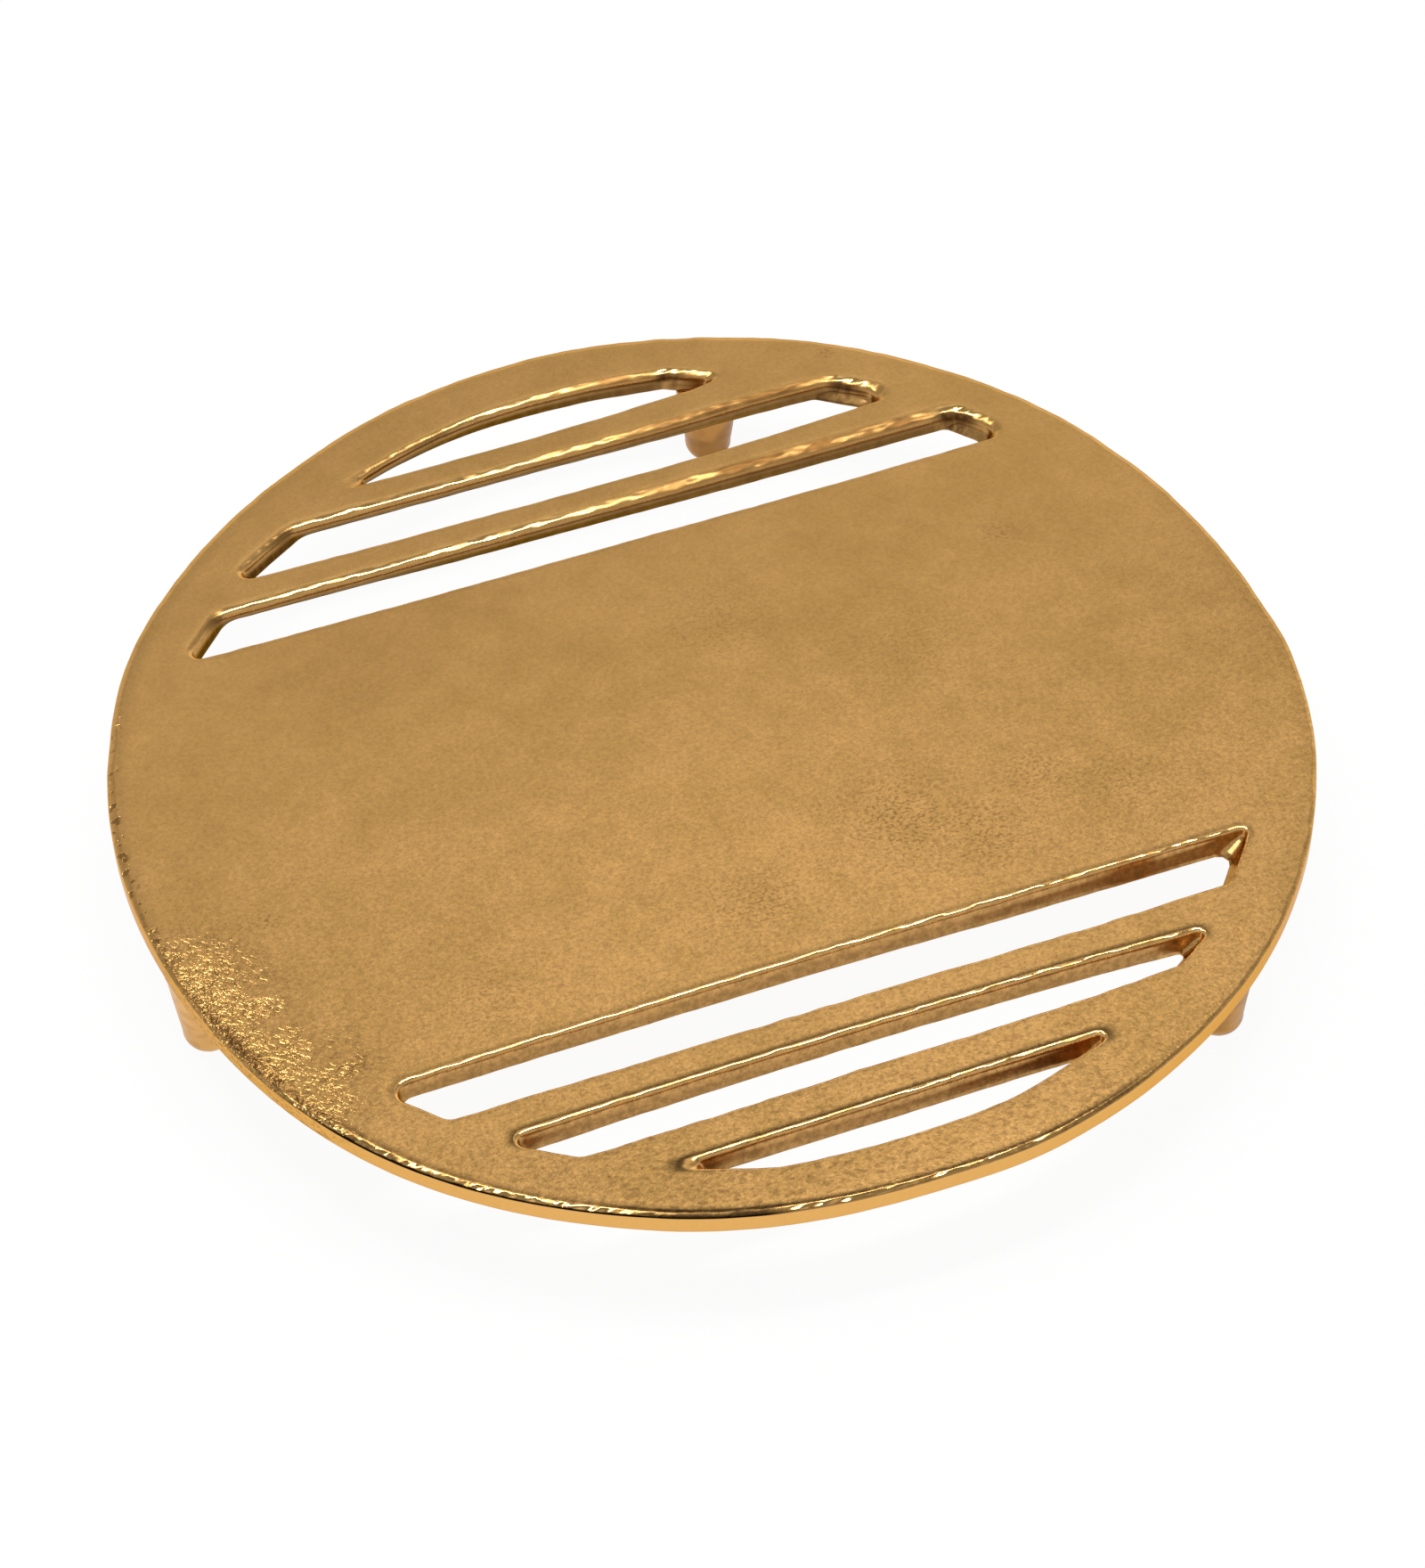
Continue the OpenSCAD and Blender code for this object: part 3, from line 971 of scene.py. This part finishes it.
def new_material(name):
    material = bpy.data.materials.new(name)
    material.use_nodes = True
    tree = material.node_tree
    tree.nodes.clear()
    output = tree.nodes.new("ShaderNodeOutputMaterial")
    shader = tree.nodes.new("ShaderNodeBsdfPrincipled")
    tree.links.new(shader.outputs[0], output.inputs["Surface"])
    return material, tree, shader


def mask(tree, name):
    return add(tree, "ShaderNodeAttribute", attribute_name=name).outputs["Fac"]


def bump(tree, height, distance, strength, normal=None):
    inputs = {"Height": height, "Distance": distance, "Strength": strength}
    if normal is not None:
        inputs["Normal"] = normal
    return add(tree, "ShaderNodeBump", inputs).outputs["Normal"]


def band(tree, value, start, full, fade, end):
    """1 where a value lies between full and fade, eased to 0 at start and end."""
    return times(tree, ramp(tree, value, start, full), ramp(tree, value, fade, end, 1.0, 0.0))


def disc_traces(tree, groups):
    """What the finish of the disc is drawn from: the mesh's masks, and patterns on its place."""
    names = DISC_MASKS + ("coarse", "marks", "dimples", "tone")
    at = {name: mask(tree, name) for name in names}
    place = add(tree, "ShaderNodeTexCoord").outputs["Object"]
    streaks = stretched(tree, place, (0.4, 1.0, 1.0))
    crest = band(tree, at["lean"], 0.06, 0.16, 0.36, 0.60)
    patchwork = place_group(
        tree, groups["wear"], {"Place": streaks, "Edge": times(tree, crest, at["wear"])}
    )
    beads = ramp(tree, noise(tree, streaks, 480.0, 1.0, 0.5), 0.48, 0.62, 1.0, 0.5)
    dots = ramp(tree, noise(tree, place, 700.0, 1.0, 0.5), 0.56, 0.62)
    ridges = add(
        tree, "ShaderNodeMapping",
        {"Vector": place, "Rotation": (0, 0, math.radians(-50)), "Scale": (1.9, 1.0, 1.0)},
        vector_type="TEXTURE",
    ).outputs[0]
    creases = add(
        tree, "ShaderNodeTexNoise",
        {"Vector": ridges, "Scale": 1450.0, "Detail": 2.0, "Roughness": 0.6, "Distortion": 0.2},
    ).outputs["Fac"]
    along_x, along_y, _ = add(tree, "ShaderNodeSeparateXYZ", {0: place}).outputs
    # The grain is plainer towards the far row of slots
    at["near"] = ramp(tree, along_y, -0.08, 0.06, 1.0, 0.28)
    at["front"] = ramp(tree, along_y, -0.09, -0.05, 1.0, 0.0)
    at["fewer pits"] = ramp(tree, along_x, 0.02, 0.05, 0.28, 0.12)
    at["place"], at["streaks"], at["creases"] = place, streaks, creases
    at["polish"], at["unworn"] = patchwork["Polish"], patchwork["Unworn"]
    at["nicks"] = times(tree, crest, at["nicks"])
    at["blunt"] = times(tree, crest, at["dull"], beads)
    at["spots"] = times(tree, at["dimples"], dots)
    return at


def field_colour(tree, at, grain, pits, mottle):
    """The flat top: slow changes of tone, grain, dark flecks and pits near the front."""
    swing = maths(tree, "SUBTRACT", grain["Height"], 0.5)
    shade = maths(tree, "MULTIPLY_ADD", swing, times(tree, at["near"], GRAIN_SWING), 1.0)
    # The broad patches add painted light and shade to the top's tone
    shade = maths(tree, "ADD", shade, at["tone"])
    colour = mix(tree, 1.0, mottle["Colour"], shade, "MULTIPLY")
    fleck = maths(tree, "ADD", times(tree, at["near"], 0.16), times(tree, at["marks"], 0.45))
    colour = mix(tree, times(tree, fleck, grain["Flecks"]), colour, OXIDE)
    colour = mix(tree, times(tree, at["marks"], 0.06), colour, OXIDE)
    pitted = times(tree, pits["Flecks"], times(tree, at["front"], at["fewer pits"]))
    return mix(tree, pitted, colour, OXIDE)


def edge_colour(tree, at, colour):
    """Slot walls in a deeper, patchy tone as painted shade, the side painted brighter as a reflection, and
    worn edges: polished ones painted paler as a highlight, dull ones painted darker as shade.
    """
    # Slot walls take a deeper tone: painted shade, with patchy grain
    wall = times(tree, ramp(tree, at["lean"], 0.4, 0.8), at["near"])
    patchy = ramp(tree, noise(tree, at["place"], 900.0, 3.0, 0.7), 0.34, 0.66, 0.72, 1.16)
    colour = mix(tree, wall, colour, mix(tree, 1.0, GOLD_DEEP, patchy, "MULTIPLY"))
    # The rim's side is painted brighter: a painted reflection
    colour = mix(tree, times(tree, at["side"], 0.9), colour, GOLD_BRIGHT)
    # Dull edges are painted darker: painted shade that dims their highlight
    colour = mix(tree, times(tree, at["blunt"], 0.95), colour, SHADED_EDGE)
    # Polished edges are painted paler: real wear, and a painted highlight
    return mix(tree, at["polish"], colour, POLISHED_SHEEN)


def shade_and_streaks_colour(tree, at, colour):
    """Painted shade at the foot of the walls and inside the rim, casting runs with painted shade under
    their crest, and black lines of painted shade.
    """
    lean = at["lean"]
    upright_streaks = noise(tree, stretched(tree, at["place"], (1.0, 1.0, 0.3)), 700.0, 2.0, 0.6)
    patchwork = ramp(tree, noise(tree, at["place"], 330.0, 2.0, 0.6), 0.38, 0.56, 0.35, 1.15)
    streaked_spread = ramp(tree, upright_streaks, 0.3, 0.7, 0.93, 1.05)
    spread = mix(tree, ramp(tree, lean, 0.02, 0.10), patchwork, streaked_spread)
    # The dark mask paints shade at the foot of the walls and inside the rim
    painted_shade = maths(tree, "MULTIPLY", at["dark"], spread, clamp=True)
    colour = mix(tree, painted_shade, colour, SHADE)
    run_marks = times(tree, at["runs"], ramp(tree, upright_streaks, 0.42, 0.58, 0.0, 0.6))
    colour = mix(tree, times(tree, run_marks, ramp(tree, lean, 0.3, 0.5)), colour, SHADE)
    kept = highest(
        tree, at["unworn"], ramp(tree, lean, 0.25, 0.38), ramp(tree, lean, 0.04, 0.12, 1.0, 0.0),
        without(tree, at["wear"]),
    )
    # Black lines of painted shade on the edges
    return mix(tree, times(tree, at["soot"], kept), colour, LINE_SHADE)


def disc_roughness(tree, at, clouds):
    roughness = ramp(tree, clouds, 0.0, 1.0, 0.27, 0.24)
    for name, less in (("polish", 0.17), ("side", 0.04), ("coarse", 0.11)):
        roughness = maths(tree, "SUBTRACT", roughness, times(tree, at[name], less))
    for name, more in (("blunt", 0.24), ("dark", 0.12)):
        roughness = maths(tree, "ADD", roughness, times(tree, at[name], more))
    return roughness


def disc_normal(tree, at, pits):
    """Pits on the top, dimples at the rim, dents on the edges and creases in the coarse zone."""
    plain_side = without(tree, times(tree, at["side"], 0.8))
    waves = maths(tree, "MULTIPLY_ADD", at["front"], 0.8, 0.15)
    waves = times(tree, waves, ramp(tree, at["lean"], 0.0, 0.15, 1.0, 0.3), plain_side)
    pebbled = bump(tree, pits["Height"], PIT_H, waves)
    dented = bump(tree, without(tree, at["spots"]), DIMPLE_H, 1.0, pebbled)
    nicked = bump(tree, noise(tree, at["streaks"], 1000.0, 0.0), NICK_H, at["nicks"], dented)
    return bump(tree, at["creases"], CREASE_H, at["coarse"], nicked)


def plate_gold(groups):
    """Satin cast gold of the disc: flecked top, slot walls and edges with painted shade, smooth side and
    polished edges with painted sheen.
    """
    material, tree, shader = new_material("plate_gold")
    at = disc_traces(tree, groups)
    grain = place_group(tree, groups["grain"], {"Place": at["place"], **FIELD_GRAIN})
    pits = place_group(tree, groups["grain"], {"Place": at["place"], **PITTED_GRAIN})
    tones = {"Place": at["place"], "Warm": GOLD_WARM, "Dull": GOLD_DULL}
    mottle = place_group(tree, groups["mottle"], tones)
    colour = field_colour(tree, at, grain, pits, mottle)
    colour = edge_colour(tree, at, colour)
    colour = shade_and_streaks_colour(tree, at, colour)
    colour = mix(tree, times(tree, at["spots"], 0.65), colour, OXIDE)
    # Darker in the creases of the coarse zone
    gaps = times(tree, at["coarse"], ramp(tree, at["creases"], 0.36, 0.50, 0.45, 0.0))
    colour = mix(tree, gaps, colour, OXIDE)
    tree.links.new(colour, shader.inputs["Base Color"])
    tree.links.new(disc_roughness(tree, at, mottle["Clouds"]), shader.inputs["Roughness"])
    tree.links.new(disc_normal(tree, at, pits), shader.inputs["Normal"])
    shader.inputs["Metallic"].default_value = 1.0
    shader.inputs["Specular Tint"].default_value = EDGE_TINT
    return material


def foot_gold(groups):
    """Smoother cast gold of the feet."""
    material, tree, shader = new_material("foot_gold")
    place = add(tree, "ShaderNodeTexCoord").outputs["Object"]
    grain = place_group(tree, groups["grain"], {"Place": place, **FOOT_GRAIN})
    tone = place_group(tree, groups["mottle"], {"Place": place, "Warm": GOLD_BRIGHT, "Dull": GOLD_WARM})
    # Each foot's share of painted shade darkens its colour and its stains
    painted_shade = mask(tree, "painted_shade")
    colour = mix(tree, painted_shade, tone["Colour"], GOLD_SHADED)
    stain = ramp(tree, noise(tree, place, 130.0, 2.0, 0.6), 0.45, 0.62, 0.0, 0.35)
    colour = mix(tree, times(tree, stain, painted_shade), colour, OXIDE)
    colour = mix(tree, times(tree, grain["Flecks"], 0.12), colour, OXIDE)
    tree.links.new(colour, shader.inputs["Base Color"])
    tree.links.new(ramp(tree, tone["Clouds"], 0.0, 1.0, 0.40, 0.32), shader.inputs["Roughness"])
    shader.inputs["Metallic"].default_value = 1.0
    tree.links.new(bump(tree, grain["Height"], FOOT_GRAIN_H, 0.35), shader.inputs["Normal"])
    return material


# Studio

FLOOR_W = 12.0
# Brightness of the walls: share of the way up, and level
WALL_LEVELS = ((0.0, 0.95), (0.34, 0.73), (0.64, 0.42), (0.82, 0.32), (0.97, 0.27))


def floor_material():
    """Pale floor: nearly white to the camera and in the metal, and plain paint to other light."""
    material, tree, shader = new_material("pale_floor")
    shader.inputs["Base Color"].default_value = (0.86, 0.86, 0.86, 1)
    shader.inputs["Roughness"].default_value = 0.9
    shader.inputs["Specular IOR Level"].default_value = 0.0
    light = add(tree, "ShaderNodeEmission", {"Color": (1, 1, 1, 1), "Strength": 1.0})
    path = add(tree, "ShaderNodeLightPath").outputs
    seen = highest(tree, path["Is Camera Ray"], path["Is Transmission Ray"])
    share = highest(tree, times(tree, seen, 0.94), times(tree, path["Is Glossy Ray"], 0.85))
    blend = add(tree, "ShaderNodeMixShader", {0: share, 1: shader.outputs[0], 2: light.outputs[0]})
    output = next(n for n in tree.nodes if n.bl_idname == "ShaderNodeOutputMaterial")
    tree.links.new(blend.outputs[0], output.inputs["Surface"])
    return material


def build_floor():
    half = FLOOR_W / 2
    corners = [(-half, -half, 0), (half, -half, 0), (half, half, 0), (-half, half, 0)]
    mesh = bpy.data.meshes.new("floor")
    mesh.from_pydata(corners, [], [(0, 1, 2, 3)])
    mesh.materials.append(floor_material())
    floor = bpy.data.objects.new("floor", mesh)
    bpy.context.collection.objects.link(floor)


def build_world():
    """Pale walls that grow dimmer towards the ceiling, and bright panels before and behind."""
    world = bpy.data.worlds.new("studio")
    world.use_nodes = True
    tree = world.node_tree
    tree.nodes.clear()
    output = tree.nodes.new("ShaderNodeOutputWorld")
    way = add(tree, "ShaderNodeTexCoord").outputs["Generated"]
    height = add(tree, "ShaderNodeSeparateXYZ", {0: way}).outputs["Z"]
    walls = add(tree, "ShaderNodeValToRGB", {"Fac": height})
    elements = walls.color_ramp.elements
    while len(elements) < len(WALL_LEVELS):
        elements.new(0.5)
    for element, (position, level) in zip(elements, WALL_LEVELS):
        element.position = position
        element.color = (level, level, level, 1)
    ahead = panel(tree, way, azimuth=67, elevation=55, rise=23, fall=20, half_width=24, level=0.73)
    behind = panel(tree, way, azimuth=-110, elevation=50, rise=35, fall=26, half_width=60, level=0.52)
    beyond = panel(tree, way, azimuth=50, elevation=22, rise=22, fall=22, half_width=75, level=0.68)
    panels = maths(tree, "ADD", maths(tree, "ADD", ahead, behind), beyond)
    level = maths(tree, "ADD", walls.outputs["Color"], panels)
    background = add(tree, "ShaderNodeBackground", {"Color": level, "Strength": 1.0})
    tree.links.new(background.outputs[0], output.inputs["Surface"])
    bpy.context.scene.world = world


def reach_along(tree, way, azimuth, elevation):
    """How far a way points along another, from -1 to 1."""
    axis = direction(azimuth, elevation)
    node = add(tree, "ShaderNodeVectorMath", {0: way, 1: axis}, operation="DOT_PRODUCT")
    return node.outputs["Value"]


def panel(tree, way, azimuth, elevation, rise, fall, half_width, level):
    """A soft bright panel: it fades downwards over rise, upwards over fall, and to its sides."""
    height = reach_along(tree, way, azimuth, elevation + 90)
    across = maths(tree, "ABSOLUTE", reach_along(tree, way, azimuth + 90, 0))
    ahead = reach_along(tree, way, azimuth, elevation)
    return times(
        tree, level,
        ramp(tree, height, -math.sin(math.radians(rise)), 0.0),
        ramp(tree, height, 0.0, math.sin(math.radians(fall)), 1.0, 0.0),
        ramp(tree, across, 0.0, math.sin(math.radians(half_width)), 1.0, 0.0),
        maths(tree, "GREATER_THAN", ahead, 0.0),
    )


def direction(azimuth, elevation):
    """Unit vector at a plan angle from +X and an angle above the floor."""
    flat = math.cos(math.radians(elevation))
    return (
        flat * math.cos(math.radians(azimuth)),
        flat * math.sin(math.radians(azimuth)),
        math.sin(math.radians(elevation)),
    )


def add_lamp(name, place, width, depth, radiance):
    """A soft oblong lamp that looks straight down."""
    data = bpy.data.lights.new(name, "AREA")
    data.shape = "RECTANGLE"
    data.size = width
    data.size_y = depth
    data.energy = radiance * math.pi * width * depth
    lamp = bpy.data.objects.new(name, data)
    lamp.location = place
    bpy.context.collection.objects.link(lamp)


def build_camera():
    azimuth, elevation, roll = (
        math.radians(v) for v in (CAMERA_AZIMUTH, CAMERA_ELEVATION, CAMERA_ROLL)
    )
    back = Vector((
        math.sin(azimuth) * math.cos(elevation),
        -math.cos(azimuth) * math.cos(elevation),
        math.sin(elevation),
    ))
    level = Vector((math.cos(azimuth), math.sin(azimuth), 0))
    upright = back.cross(level)
    right = level * math.cos(roll) + upright * math.sin(roll)
    up = upright * math.cos(roll) - level * math.sin(roll)
    turn = Matrix((right, up, back)).transposed()
    data = bpy.data.cameras.new("camera")
    data.lens = CAMERA_LENS_MM
    data.sensor_width = 36
    data.clip_start = 0.01
    camera = bpy.data.objects.new("camera", data)
    camera.matrix_world = Matrix.Translation(Vector(CAMERA_TARGET) + back * CAMERA_DISTANCE) @ turn.to_4x4()
    bpy.context.collection.objects.link(camera)
    bpy.context.scene.camera = camera


# Putting the trivet together

def dress(piece, node, material):
    """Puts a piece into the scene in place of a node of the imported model."""
    piece.data.materials.append(material)
    bpy.context.collection.objects.link(piece)
    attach(piece, "root")
    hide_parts(node)


build_camera()
build_floor()
build_world()
add_lamp("ceiling_lamp", place=(0.03, 0.0, 0.92), width=0.64, depth=0.11, radiance=24.0)
add_lamp("corner_lamp", place=(-0.32, 0.29, 0.92), width=0.14, depth=0.30, radiance=11.0)

shared_groups = {"grain": cast_grain_group(), "mottle": mottle_group(), "wear": wear_group()}
disc_metal = plate_gold(shared_groups)
foot_metal = foot_gold(shared_groups)
dress(build_plate(), "plate", disc_metal)
for foot_name in FEET:
    dress(build_foot(foot_name), foot_name, foot_metal)

bpy.context.scene.view_settings.view_transform = "Standard"
